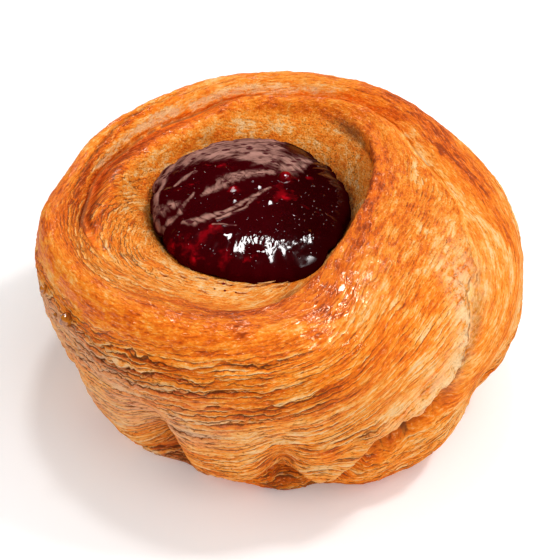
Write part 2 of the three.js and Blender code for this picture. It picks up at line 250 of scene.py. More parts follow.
# finishes, each a list of places: how much it adds and where
finishes = dict(
    browning=[  # how dark the oven left it
        (0.385, dict()),
        (0.23, dict(at=(250, 58), down=(3.5, 8.0), below=8.2)),  # front crest
        (0.20, dict(at=(258, 30), down=(16, 8), below=7)),
        (0.10, dict(at=(258, 26), down=(34, 7), below=5)),
        (0.04, dict(at=(280, 20), rises=[("rail", 3.2, 2.2)])),
        (0.30, dict(at=(256, 20), rail=(7.9, 0.7))),  # ramp into the bowl
        (-0.20, dict(at=(258, 24), rail=(9.55, 0.3))),
        (0.27, dict(turn="inner", rail=(8.05, 0.42), spare=[(0.8, 232, 40), (0.1, 85, 50)])),  # ring
        # paler on the inner wall of the ring, partly painted light
        (-0.24, dict(at=(150, 30), rail=(8.9, 0.4))),
        (0.34, dict(turn="outer", at=(192, 26), down=(-6.0, 6.0))),  # outer rim
        (0.595, dict(turn="outer", at=(33, 32), down=(-0.8, 5.0))),
        (0.46, dict(turn="outer", at=(152, 38), fromFold=(-4.4, 1.1))),
        (-0.42, dict(turn="outer", at=(130, 55), fromFold=(-2.3, 1.5))),
        (-0.18, dict(turn="outer", at=(205, 9), down=(5.5, 2.2))),
        (0.05, dict(turn="outer", at=(199, 9), down=(0.5, 2.0))),
        (0.38, dict(turn="inner", at=(155, 34), fromFold=(1.9, 2.0))),  # the fold: browner beside it, and darker in the crease as painted shade
        (0.26, dict(turn="outer", at=(190, 22), fromFold=(-1.5, 2.2))),
        (0.22, dict(at=(175, 70), fromFold=(-0.5, 1.1), by=["deepFold"])),
        (0.12, dict(turn="inner", at=(340, 50), down=(6, 9))),  # roll and overlap on the right
        (0.13, dict(turn="inner", at=(298, 12), down=(25, 6))),
        (-0.35, dict(turn="inner", fromFold=(0.8, 1.5), rises=[("wound", -50, -58), ("wound", -84, -68)])),
        # painted shade in the hollow under the overlap
        (0.36, dict(by=["pocket"])),
        (-0.10, dict(turn="outer", at=(350, 30), rises=[("rail", 3.5, 5)])),  # outer turn on the right
        (-0.06, dict(turn="outer", at=(20, 40), fromFold=(-4, 4))),
        (0.15, dict(turn="outer", at=(312, 34), rail=(1.9, 0.9))),
        (-0.10, dict(turn="outer", at=(306, 12), rail=(3.9, 0.7))),
        (-0.12, dict(rises=[("down", 18, 28)], below=6.5, spare=[(0.5, 320, 40)])),  # low sides and foot
        (0.15, dict(rail=(1.3, 0.7))),
        (-0.25, dict(by=["blister"])),
    ],
    ochre=[  # painted shade in the hollows under the overlap and at the foot, in a dull yellow-brown
        (1.1, dict(by=["pocket", "pocket"])),
        (0.8, dict(at=(281, 10), rises=[("rail", 2.8, 1.7)])),
        (0.7, dict(turn="outer", at=(323, 8), fromFold=(-2.4, 1.6))),
    ],
    shade=[  # painted shade: darkens the crumb inside the bowl, under the lip and beside the jam
        (0.9, dict(at=(15, 45), by=["bowlWall"])),
        (0.25, dict(at=(90, 60), by=["bowlWall"])),
        (1.2, dict(at=(190, 38), rail=(9.85, 0.22))),
        (0.9, dict(at=(20, 50), rail=(9.85, 0.22))),
    ],
    dry=[  # bare, floury layers low on the sides and where they are torn
        (0.6, dict(by=["lowSide"])),
        (-0.3, dict(rises=[("down", 27, 34)], by=["lowSide"])),
        (0.65, dict(at=(226, 26), down=(18, 5))),
        (0.6, dict(at=(220, 26), down=(20, 8))),
        (1.6, dict(at=(226, 18), down=(25, 5))),
        (1.0, dict(at=(203, 15), rises=[("down", 8, 12), ("rail", 2.6, 3.6)])),
    ],
    glaze=[  # how much of the egg and sugar wash shows
        (1.0, dict(turn="inner", at=(292, 16), down=(7.5, 5.5), below=8.3)),
        (0.7, dict(at=(240, 40), down=(4, 6), below=8.3)),
        (0.15, dict(turn="inner", rail=(8.1, 0.6))),
        (0.30, dict(turn="inner", at=(140, 60), rail=(8.1, 0.6))),
        (0.45, dict(turn="outer", at=(130, 50), down=(0, 4))),
    ],
    seam=[  # dark lines in the fold and in cracks, with painted shade in the crease, the hollow under the overlap, the corner under the lip and beside the jam
        (1.0, dict(fromFold=(-0.3, 0.4), spare=[(1, 20, 55)], rises=[("wound", -60, 0), ("broken", 0.25, 0.5)],
                   by=["openFold"])),
        (0.6, dict(by=["parting"])),
        (0.9, dict(at=(333, 4.5), fromFold=(-0.2, 0.35))),
        (0.9, dict(at=(284, 7), rail=(9.08, 0.14))),
        (0.8, dict(at=(10, 48), rail=(9.97, 0.16))),
        (0.7, dict(fromFold=(-1.4, 1.2), by=["pocket"])),
        (0.4, dict(at=(193, 13), fromFold=(0.4, 1.6))),
        (0.9, dict(at=(41, 13), rail=(8.4, 0.4))),
    ],
)


def shareOf(marks, turn=None, at=None, spare=(), below=None, rises=(), by=(), **humps):  # how far a place reaches
    theta = marks["theta"]
    share = np.ones_like(theta) if turn is None else 1.0 * marks[turn]
    if at:
        share = share * bell(theta, *at)
    for amount, centre, reach in spare:
        share = share * (1 - amount * bell(theta, centre, reach))
    if below:
        share = share * (marks["rail"] < below)
    for mark, start, end in rises:
        share = share * ramp(marks[mark], start, end)
    for mark, (place, spread) in humps.items():
        share = share * hump(marks[mark], place, spread)
    for mark in by:
        share = share * marks[mark]
    return share


def finishOf(marks, name):
    return sum(amount * shareOf(marks, **where) for amount, where in finishes[name])


def gridNormals(points):  # columns wrap round, rows don't
    around = np.roll(points, -1, 0) - np.roll(points, 1, 0)
    up = np.gradient(points, axis=1)
    normal = np.cross(around, up)
    length = np.linalg.norm(normal, axis=-1, keepdims=True)
    steepness = np.linalg.norm(up, axis=-1, keepdims=True)
    return normal / np.maximum(length, 1e-9), up / np.maximum(steepness, 1e-9)


def smoothRows(values, passes):  # blurs a column x row field a little
    for _ in range(passes):
        values = (np.roll(values, 1, 0) + np.roll(values, -1, 0) + 2 * values) / 4
        padded = np.pad(values, ((0, 0), (1, 1)), mode="edge")
        values = (padded[:, :-2] + padded[:, 2:] + 2 * values) / 4
    return values


def ringGrain(marks, turns, seed, height, octaves=1):  # grain round the dough, its height free
    return layeredGrain(turns * marks["circleX"] + seed, turns * marks["circleY"] + seed, height, octaves)


def layOut():  # the smooth dough, and what each of its points knows about its place
    columns = dough["columns"]
    direction = np.arange(columns) * 360 / columns
    rails = [np.array([0.0])]
    for start, rows in enumerate(dough["rowsBetweenRails"]):
        rails.append(start + np.arange(1, rows + 1) / rows)
    rails = np.concatenate(rails)
    theta, rail = np.meshgrid(direction, rails, indexing="ij")
    base = splineThrough(railPoints(direction), rail)
    base[..., 2] = np.maximum(base[..., 2], 0)
    step = np.linalg.norm(np.diff(base, axis=1), axis=-1)
    climb = np.concatenate([np.zeros((columns, 1)), np.cumsum(step, 1)], 1)  # length up each section

    def climbAt(place):
        row = np.interp(place, rails, np.arange(len(rails)))
        low = np.clip(np.floor(row).astype(int), 0, len(rails) - 2)
        part = row - low
        column = np.arange(columns)
        return (climb[column, low] * (1 - part) + climb[column, low + 1] * part)[:, None]

    wound = woundDirection(theta)
    circleX, circleY = np.cos(np.radians(theta)), np.sin(np.radians(theta))
    jag = layeredGrain(14 * circleX + 20, 14 * circleY + 20, 0 * theta + 3.5, 3) - 0.5
    foldRail, foldDepth = creaseAt(direction)
    foldDepth = foldDepth[:, None] + 0 * rail
    fromFold = climb - climbAt(foldRail) + crease["raggedness"] * jag * ramp(wound, *crease["raggedFrom"])
    inner = fromFold > 0
    ridgeIn = np.interp(woundDirection(direction), layers["innerTurns"], layers["innerRidge"])
    ridgeOut = np.interp(woundDirection(direction) - 360, layers["outerTurns"], layers["outerRidge"])
    down = np.where(inner, climbAt(ridgeIn), climbAt(ridgeOut)) - climb
    marks = dict(
        theta=theta, rail=rail, wound=wound, circleX=circleX, circleY=circleY, jag=jag, down=down,
        inner=inner, outer=~inner, onWall=ramp(rail, 1, 2), fluted=fluting(theta) * ramp(rail, 5.0, 3.0),
        foldDepth=foldDepth, fromFold=fromFold,
        openFold=np.clip(foldDepth / crease["openDepth"], 0, 1),
        deepFold=np.clip(foldDepth / crease["deepDepth"], 0, 1),
        fromEdge=fromFold - crease["edgeJag"] * jag, fromParting=fromFold - crease["partingJag"] * jag,
        join=ramp(np.abs(fromFold), *crease["meet"]),
        fromLip=climb - climbAt(np.full(columns, forms["lip"]["rail"])),
        broken=layeredGrain(9 * circleX, 9 * circleY + 30, down / 4, 2))
    for name, where in zones.items():
        marks[name] = shareOf(marks, **where)
    marks["crumb"] = marks["crumbly"] * np.where(inner, 1, ramp(wound, *crease["crumbFades"]))
    return base, marks


def creaseRelief(marks):  # the cut between the turns and the roll of dough beside it
    fromFold = marks["fromFold"]
    above = crease["above"] + sumOfBells([crease["softer"]], marks["theta"])
    cut = np.exp(-(fromFold / np.where(marks["inner"], above, crease["below"])) ** 2)
    roll = crease["roll"] * hump(fromFold, crease["rollAt"], crease["rollWidth"])
    return marks["onWall"] * marks["foldDepth"] * (roll - cut)


def overhangOf(marks):  # how far the edge of the overlap hangs down
    amount, start, end = crease["overhangThins"]
    least, more = crease["overhangJag"]
    hang = crease["overhang"] * shareOf(marks, **crease["overhangAt"])
    return hang * (1 - amount * ramp(marks["wound"], start, end)) * (least + more * marks["jag"])


def tornEdges(sheet, marks, make, share):  # every layer gets a ragged edge of its own
    first = np.floor(sheet)

    def edge(number):
        height = number * layers["numberStep"]
        lobes = np.abs(2 * ringGrain(marks, make["scallops"], 31, height + 0.5) - 1)
        nicks = 2 * ringGrain(marks, 3 * make["scallops"], 0, height + 9.5) - 1
        return number + share * make["torn"] * (1.6 * lobes + 0.6 * nicks - 0.5)

    edges = [edge(first + shift) for shift in (-1, 0, 1, 2)]
    which = np.where(sheet < edges[1], 0, np.where(sheet < edges[2], 1, 2))
    low, high = np.choose(which, edges[:3]), np.choose(which, edges[1:])
    return first - 1 + which + (sheet - low) / (high - low)


def layerRelief(marks):  # each layer comes forward to its lower edge and steps back under it
    down, side, rolled, ramped, torn = (marks[k] for k in ("down", "side", "rolled", "ramped", "torn"))
    parted = sum(bell(marks["theta"], at, reach) * hump(down, place, spread)
                 for at, reach, place, spread in layers["gaps"])
    swirl, shiver, fray = (
        ringGrain(marks, turns, seed, down / high, 2) - 0.5
        for turns, seed, high in (layers[k] for k in ("swirl", "shiver", "fray")))
    settled = (1 - marks["calm"]) * (1 - 0.4 * marks["bare"]) * (1 - 0.7 * marks["crumb"])
    shown = dict(
        broad=settled * np.maximum(side * (1 - 0.85 * rolled), 0.75 * ramped),
        fine=settled * np.maximum(side * (1 - 0.45 * rolled), np.maximum(0.2, 0.9 * ramped)))
    ragged = (1 - 0.7 * rolled) * (1 - 0.7 * ramp(down, 19, 25))
    relief = 0
    for tier in ("broad", "fine"):
        make = layers[tier]
        uneven = grainAt(0 * down + 0.5, 0 * down + make["seed"], down / (1.7 * make["pitch"]) + 40) - 0.5
        wild = (make["shiver"] * shiver + make["fray"] * fray) * (1 - 0.6 * rolled)
        sheet = down + make["wander"] * swirl + make["uneven"] * uneven + wild + layers["tornFray"] * torn * fray
        sheet = tornEdges(sheet / make["pitch"], marks, make, ragged)
        number = np.floor(sheet)
        part = sheet - number

        def along(turns, seed):  # changes along a layer and from layer to layer
            return ringGrain(marks, turns, seed, number * layers["numberStep"] + 0.5)

        run = ramp(along(make["runs"], make["seed"]) + 0.4 * (along(3 * make["runs"], 9) - 0.5), 0.30, 0.62)
        run = np.clip(run + parted + 0.5 * torn, 0, 1.6)
        crowding = np.abs(np.roll(sheet, -1, 0) - sheet)
        crowding = np.where(crowding > 2, 0, crowding)
        carved = shown[tier] * run * ramp(crowding, *layers["crowded"])
        rise = part ** 1.3 * (1 - ramp(part, 1 - make["drop"], 1))
        relief = relief + make["step"] * carved * (rise - 0.45)
        if tier == "broad":
            deep = layers["gapDepth"] * np.clip(parted, 0, 1) + layers["tornDepth"] * torn
            relief = relief - deep * shown[tier] * hump(part, 0.05, 0.12)
        marks[tier + "Sheet"] = sheet
        marks[tier + "Open"] = marks["onWall"] * shown[tier] * run * marks["join"]
    marks["combed"] = np.clip(np.maximum(marks["onWall"] * shown["fine"], rolled) + marks["streaked"], 0, 1)
    return marks["onWall"] * relief


def lumpRelief(marks, base):  # lumps, pits and the sharp edge over the bowl
    lump = layeredGrain(*np.moveaxis(base / forms["lumpSize"], -1, 0), 3) - 0.5
    pit = layeredGrain(*np.moveaxis(base / forms["pitSize"] + (5, 0, 0), -1, 0), 2) - 0.5
    pitted = np.maximum(ramp(marks["rail"], 6.2, 7.0), forms["crumbPit"] * marks["crumb"])
    relief = marks["onWall"] * (forms["lump"] * lump + forms["pit"] * pit * pitted)
    lip = forms["lip"]
    edge = hump(marks["fromLip"], *lip["edge"]) - lip["undercutShare"] * hump(marks["fromLip"], *lip["undercut"])
    return relief + lip["height"] * bell(marks["theta"], *lip["at"]) * edge


def makeDough():
    base, marks = layOut()
    normal, upward = gridNormals(base)
    relief = creaseRelief(marks) + layerRelief(marks) + lumpRelief(marks, base)
    relief = relief + sum(forms[k] * marks[k] for k in ("pocket", "parting", "rimSwell", "blister"))
    relief = relief * ramp(marks["rail"], 11.5, 10.5)  # the middle of the bowl stays plain
    surface = base + normal * relief[..., None] - upward * overhangOf(marks)[..., None]
    surface[..., 2] = np.maximum(surface[..., 2], 0)
    # how far each point lies below its neighbours; the colour darkens there as painted shade in hollows
    marks["cavity"] = smoothRows(relief, 5) - relief
    marks["browning"] = finishOf(marks, "browning")
    for name in ("ochre", "shade", "dry", "glaze", "seam"):
        marks[name] = np.clip(finishOf(marks, name), 0, 1)
    circle = layers["radius"] * np.stack([marks["circleX"], marks["circleY"]], -1)
    marks["strata"] = np.concatenate([circle, marks["down"][..., None]], -1)
    return surface, marks


def gridFaces(columns, rows):  # quads, the first and last row closed to a point
    column = np.arange(columns)
    after = (column + 1) % columns
    row = np.arange(1, rows - 2)[:, None]
    low, high = 1 + (row - 1) * columns, 1 + row * columns
    quads = np.stack([low + column, low + after, high + after, high + column], -1).reshape(-1, 4)
    lastRing = 1 + (rows - 3) * columns
    tip = lastRing + columns
    bottom = np.stack([0 * column, 1 + after, 1 + column], -1)
    top = np.stack([lastRing + column, lastRing + after, 0 * column + tip], -1)
    return quads, bottom, top


def flattenGrid(field):  # one value for each vertex: first point, rings, last point
    rings = np.swapaxes(field[:, 1:-1], 0, 1).reshape((-1,) + field.shape[2:])
    return np.concatenate([field[:1, 0], rings, field[:1, -1]])


def putIn(name, data):  # a new object in the scene
    thing = bpy.data.objects.new(name, data)
    bpy.context.scene.collection.objects.link(thing)
    return thing


def meshFromGrids(name, grids):  # each grid is its points and its fields
    vertices, faces = [], []
    for points, fields in grids:
        for part in gridFaces(*points.shape[:2]):
            faces += (len(vertices) + part).tolist()
        vertices += (flattenGrid(points) * mm).tolist()
    mesh = bpy.data.meshes.new(name)
    mesh.from_pydata(vertices, [], faces)
    mesh.shade_smooth()
    for label in grids[0][1]:
        values = np.concatenate([flattenGrid(fields[label]) for points, fields in grids]).astype(np.float32)
        kind, key = ("FLOAT_VECTOR", "vector") if values.ndim == 2 else ("FLOAT", "value")
        mesh.attributes.new(label, kind, "POINT").data.foreach_set(key, values.ravel())
    mesh.validate()
    return putIn(name, mesh)


# shader nodes

class Wire:  # an output socket that takes part in Python arithmetic
    def __init__(self, paper, socket):
        self.paper = paper
        self.socket = socket

    def maths(self, operation, first, second):
        return self.paper.add("ShaderNodeMath", dict(operation=operation), {0: first, 1: second})

    def __add__(self, other):
        return self.maths("ADD", self, other)

    def __sub__(self, other):
        return self.maths("SUBTRACT", self, other)

    def __rsub__(self, other):
        return self.maths("SUBTRACT", other, self)

    def __mul__(self, other):
        return self.maths("MULTIPLY", self, other)

    __radd__, __rmul__ = __add__, __mul__


class Paper:  # one material's node tree
    def __init__(self, name):
        self.material = bpy.data.materials.new(name)
        self.material.use_nodes = True
        self.tree = self.material.node_tree
        self.tree.nodes.clear()

    def add(self, kind, settings=None, sockets=None, out=0):
        node = self.tree.nodes.new(kind)
        for label, value in (settings or {}).items():
            if label == "stops":
                elements = node.color_ramp.elements
                while len(elements) < len(value):
                    elements.new(0.5)
                for element, (place, colour) in zip(elements, value):
                    element.position = place
                    element.color = (*colour, 1)
            else:
                setattr(node, label, value)
        for label, value in (sockets or {}).items():
            if isinstance(value, Wire):
                self.tree.links.new(value.socket, node.inputs[label])
            elif isinstance(value, tuple) and len(value) == 3 and node.inputs[label].type == "RGBA":
                node.inputs[label].default_value = (*value, 1)
            else:
                node.inputs[label].default_value = value
        return Wire(self, node.outputs[out]) if node.outputs else None

    def attribute(self, name, out="Fac"):
        return self.add("ShaderNodeAttribute", dict(attribute_name=name), out=out)

    def scaled(self, vector, scale):
        return self.add("ShaderNodeVectorMath", dict(operation="MULTIPLY"), {0: vector, 1: scale})

    def place(self):  # the piece's own coordinates, in millimetres
        return self.scaled(self.add("ShaderNodeTexCoord", out="Object"), (1 / mm, 1 / mm, 1 / mm))

    def cells(self, vector, scale):
        return self.add("ShaderNodeTexVoronoi", dict(feature="F1"), {
            "Vector": vector, "Scale": scale, "Randomness": 1.0})

    def bump(self, height):
        return self.add("ShaderNodeBump", {}, {"Strength": 1.0, "Distance": mm, "Height": height})

    def grain(self, vector, scale, detail=3.0, roughness=0.55, distortion=0.0):
        return self.add("ShaderNodeTexNoise", {}, {
            "Vector": vector, "Scale": scale, "Detail": detail, "Roughness": roughness, "Distortion": distortion})

    def between(self, value, low, high):  # 0 at low, 1 at high, smooth
        return self.add("ShaderNodeMapRange", dict(interpolation_type="SMOOTHSTEP"), {
            "Value": value, "From Min": low, "From Max": high})

    def floor(self, value):
        return self.add("ShaderNodeMath", dict(operation="FLOOR"), {0: value})

    def axis(self, vector, out):
        return self.add("ShaderNodeSeparateXYZ", {}, {0: vector}, out=out)

    def blend(self, factor, first, second, kind="MIX"):
        return self.add("ShaderNodeMix", dict(data_type="RGBA", blend_type=kind), {
            0: factor, 6: first, 7: second}, out=2)

    def output(self, shader):
        self.add("ShaderNodeOutputMaterial", {}, {"Surface": shader})
        return self.material

    def principled(self, sockets):
        return self.add("ShaderNodeBsdfPrincipled", {}, sockets)


crustLook = dict(
    stops=[(0.0, (0.93, 0.56, 0.25)), (0.16, (0.93, 0.43, 0.11)), (0.34, (0.93, 0.30, 0.028)),
           (0.52, (0.88, 0.205, 0.009)), (0.72, (0.75, 0.130, 0.005)), (0.90, (0.54, 0.076, 0.004)),
           (1.0, (0.34, 0.045, 0.003))],
    crackAndShade=(0.23, 0.064, 0.014), dry=(0.78, 0.44, 0.255), fleckAndGlint=(0.95, 0.58, 0.30),
    ochre=(0.36, 0.130, 0.012), crumb=(1.0, 0.66, 0.34), shade=(0.88, 0.87, 0.97),
    tiers=dict(broad=dict(slide=0.25, spread=0.08, slit=0.14, seed=3.0, height=0.24),
               fine=dict(slide=0.70, spread=0.12, slit=0.34, seed=17.0, height=0.34)),
    roughness=0.75, specular=0.06, glazeRoughness=0.11, glazeSpecular=0.55,
    glazeTint=(1.0, 0.81, 0.50, 1.0),
)


def crustMaterial():
    paper = Paper("bakedCrust")
    field, between, blend = paper.attribute, paper.between, paper.blend
    strata = field("strata", "Vector")
    place = paper.place()
    east, north = paper.axis(strata, "X"), paper.axis(strata, "Y")

    def alongLayers(turn, across, *looks):
        return paper.grain(paper.scaled(strata, (turn, turn, across)), 1.0, *looks)

    wide = alongLayers(0.035, 0.22, 3.0, 0.6, 0.5)
    lines = between(alongLayers(0.20, 1.7, 4.0, 0.62, 0.5), 0.38, 0.62)
    flakes = alongLayers(0.38, 2.3, 3.0, 0.6, 0.6)
    streaks = between(alongLayers(0.13, 0.42, 3.0, 0.6, 0.6), 0.36, 0.64)
    tear = alongLayers(0.85, 0.35, 3.0, 0.6)
    blotch = paper.grain(place, 0.20, 3.0, 0.6, 0.4)
    mottle = alongLayers(0.40, 1.1, 3.0, 0.6, 0.4)
    speck = alongLayers(1.3, 2.6, 2.0, 0.6)
    rolled, combed = field("rolled"), field("combed")
    plain = 1 - combed

    tone, groove, edges, height = 0, 0, 0, 0
    for tier, make in crustLook["tiers"].items():
        sheet = field(tier + "Sheet") + make["slide"] * (tear - 0.5)
        number = paper.floor(sheet)
        part = sheet - number
        which = paper.add("ShaderNodeCombineXYZ", {}, {
            0: east * make["spread"], 1: north * make["spread"], 2: number * layers["numberStep"] + make["seed"]})
        run = paper.grain(which, 1.0, 1.0, 0.5)
        shown = field(tier + "Open")
        # under the edge of the layer above the colour is darker, a painted shade, and each layer's lower edge is
        # paler and takes more of the dry tone, partly a painted highlight; the slit under an edge is darkened as
        # painted shade in the gap
        under = 1 - between(part, 0.0, 0.4)
        edge = between(part, 0.62, 0.9)
        slit = 1 - between(part, 0.0, make["slit"])
        tone = tone + shown * (0.30 * under - 0.28 * edge) + 0.8 * (run - 0.5) * shown
        groove = groove + shown * slit * between(run, 0.36, 0.52) * (1 - 0.4 * rolled)
        edges = edges + shown * edge
        height = height + shown * make["height"] * part

    stroked = between(rolled + field("streaked"), 0.0, 1.0)
    # fluted darkens the flute grooves as painted shade, here and in dark below
    shade = field("browning") + tone + 0.6 * (wide - 0.5) + 0.28 * field("fluted")
    shade = shade + (0.08 + 0.20 * combed) * (lines - 0.5) + (0.4 + 0.2 * combed - 0.3 * stroked) * (flakes - 0.5)
    shade = shade + (0.14 + 0.22 * stroked) * (streaks - 0.5) + (0.4 + 0.6 * plain) * (blotch - 0.5)
    shade = shade + (0.45 + 0.75 * plain) * (mottle - 0.5) + (0.45 + 0.35 * plain) * (speck - 0.5)
    colour = paper.add("ShaderNodeValToRGB", dict(stops=crustLook["stops"]), {0: shade})
    dry = field("dry") * (0.55 + 0.45 * between(wide + 0.16 * (lines - 0.5), 0.36, 0.58))
    colour = blend(between(dry * (0.55 + 0.45 * edges), 0.0, 1.0), colour, crustLook["dry"])
    # painted shade in the hollows under the overlap and at the foot
    ochre = field("ochre") * (0.35 + 0.65 * between(wide + 0.6 * (flakes - 0.5), 0.36, 0.60))
    colour = blend(ochre, colour, crustLook["ochre"])
    crumb = field("crumb")
    torn = paper.grain(place, 0.55, 4.0, 0.72)
    crumbled = between(mottle + 1.2 * (torn - 0.5) + 0.5 * (flakes - 0.5), 0.30, 0.62)
    colour = blend(crumb * crumbled, colour, crustLook["crumb"])
    # where the painted shade lies inside the bowl, under the lip and beside the jam
    paintedShade = field("shade")
    # painted shade in the hollows of the relief
    hollow = between(field("cavity"), 0.06, 0.5)
    pores = between(speck, 0.58, 0.68) * (0.12 + 0.40 * combed - 0.2 * stroked + 0.8 * paintedShade)
    pricks = between(paper.grain(place, 1.5, 3.0, 0.7) + 0.7 * (0.5 - torn), 0.54, 0.76) * crumb
    threads = between(lines + 1.2 * (flakes - 0.5), 0.80, 1.05) * combed
    join = field("join")
    # dark mixes real cracks, pores and threads with painted shade in hollows, in the slits between layers, in the
    # fold, in the flute grooves and beside the jam
    dark = join * (0.9 * hollow + groove + pores + 0.5 * pricks + 0.5 * threads * (1 - 0.6 * stroked))
    dark = between(dark + 0.8 * field("seam") + 0.42 * field("fluted"), 0.0, 1.0)
    colour = blend(dark, colour, crustLook["crackAndShade"])
    # pale flecks, partly painted glints
    flecksAndGlints = between(speck + 0.5 * (flakes - 0.5), 0.40, 0.30)
    colour = blend(flecksAndGlints * (0.22 + 0.2 * crumb) * (1 - 0.8 * paintedShade), colour, crustLook["fleckAndGlint"])
    # painted shade, multiplied over the colour inside the bowl, under the lip and beside the jam
    colour = blend(paintedShade, colour, crustLook["shade"], "MULTIPLY")
    glaze = field("glaze") * between(blotch + 0.6 * (mottle - 0.5), 0.42, 0.56)
    wrinkle = alongLayers(0.30, 0.85, 1.0, 0.4, 1.0)
    height = height + combed * (0.08 * lines + (0.22 - 0.1 * stroked) * flakes) + 0.42 * mottle
    height = height + (0.34 + 0.4 * paintedShade) * speck + 1.3 * crumb * torn
    matt = paper.principled({
        "Base Color": colour, "Roughness": crustLook["roughness"], "Normal": paper.bump(height * join),
        "Specular IOR Level": crustLook["specular"]})
    glossy = paper.principled({
        "Base Color": colour, "Roughness": crustLook["glazeRoughness"], "Normal": paper.bump(0.70 * wrinkle),
        "Specular IOR Level": crustLook["glazeSpecular"], "Specular Tint": crustLook["glazeTint"]})
    return paper.output(paper.add("ShaderNodeMixShader", {}, {0: glaze, 1: matt, 2: glossy}))


# jam: it fills the bowl and domes up, with a wrinkled skin whose pale colour is a painted reflection

jam = dict(
    edgeRail=9.8, overRun=(0.75, 308, 22), topHeight=42.6, edgeRounding=0.62, crown=0.9, bulge=0.012,
    columns=420, rowsUnder=8, rowsDome=160, sink=0.25,
    gaps=[(0.085, 200, 34), (0.03, 15, 45), (0.05, 42, 22), (0.025, 125, 25)],  # edge clear of the bowl
    uneven=0.05, bead=(7.4, 2.6, 1.5, 1.1),
    folds=[  # folds of the skin, painted pale as a reflection, each a run of points: across, back, half width, from the bowl's middle
        [(-9.2, -3.6, 0.5), (-7.4, -1.7, 1.4), (-4.7, 1.0, 2.0), (-2.0, 2.5, 1.7), (1.5, 3.9, 1.3),
         (5.0, 3.9, 1.0)],
        [(-14.8, 1.0, 0.4), (-13.3, 3.2, 0.8), (-11.2, 4.7, 0.5)],
        [(-19.3, -4.2, 1.7), (-16.5, -5.0, 2.0), (-14.0, -5.0, 1.0)],
        [(-17.8, -9.6, 0.9), (-15.5, -8.2, 0.9), (-13.8, -7.6, 0.7), (-12.3, -5.0, 0.5), (-11.0, -2.7, 0.35)],
        [(-12.8, -10.4, 0.6), (-10.4, -11.0, 1.1), (-7.5, -10.2, 0.9), (-4.5, -8.8, 0.5), (-2.2, -6.9, 0.5),
         (1.0, -4.5, 0.7), (4.6, -1.0, 0.35)],
        [(-6.2, -11.0, 0.3), (-3.4, -9.3, 0.4), (-0.5, -7.4, 0.4), (1.5, -4.6, 0.5)],
        [(-18.2, -7.0, 0.8), (-18.0, -11.0, 0.7), (-17.0, -15.0, 0.4)],
        [(-7.0, -12.4, 0.25), (-4.5, -12.6, 0.3), (-2.2, -12.7, 0.25)],
        [(-18.8, -3.0, 0.7), (-18.6, 1.0, 0.6), (-16.8, 5.5, 0.7)],
    ],
    backAcross=[-20, -15, -10, -5, -3, -1, 0.5, 5, 8.5, 11, 13, 16],  # the skin along the back, painted pale as a reflection, and its front edge
    backEdge=[2.5, 6.0, 7.6, 8.2, 8.0, 7.0, 6.2, 5.0, 2.6, 4.5, 8.5, 14.0],
    foldHeight=0.10, swell=0.6, pulp=0.20, wander=1.1, dullReach=3.2, weaveRadius=18,
    dotHeight=0.45, dotSize=1.1,
    dots=[(-2.7, -5.4), (4.3, -5.4), (-4.8, -15.2), (0.8, 1.0), (2.2, -0.7), (-3.0, -1.2), (2.0, -20.0),
          (12.3, -15.8)],
    ripples=[(4.0, -15.8, 6.0, 2.3), (9.0, -9.5, 1.5, 3.6), (12.5, -16.5, 2.2, 2.0), (2.0, -20.0, 2.0, 1.2)],
    glows=[  # red lumps: where, reach, strength
        (6.8, -3.2, 2.8, 1.0), (-6.8, -13.0, 1.7, 1.0), (-9.0, -15.0, 1.5, 0.8), (-14.5, -14.5, 2.6, 0.42),
        (-12.0, -17.0, 2.2, 0.42), (-9.5, -19.3, 2.4, 0.5), (-4.5, -20.3, 2.0, 0.5), (-5.5, 6.2, 3.0, 0.45),
        (-12.8, 0.0, 3.0, 0.4), (0.0, -21.0, 2.0, 0.5), (12.2, 3.0, 1.0, 0.7), (-3.0, -1.5, 2.0, 0.4),
        (7.4, 2.4, 1.7, 0.8),
    ],
)


def alongRun(u, v, run, reach=1.7):  # 1 on the middle of a run of points, 0 outside its width
    best = 0 * u
    for (u0, v0, wide0), (u1, v1, wide1) in zip(run, run[1:]):
        length = math.hypot(u1 - u0, v1 - v0)
        t = np.clip(((u - u0) * (u1 - u0) + (v - v0) * (v1 - v0)) / length ** 2, 0, 1)
        away = np.hypot(u - u0 - t * (u1 - u0), v - v0 - t * (v1 - v0))
        best = np.maximum(best, ramp(away / (wide0 + t * (wide1 - wide0)), reach, 0.3))
    return best


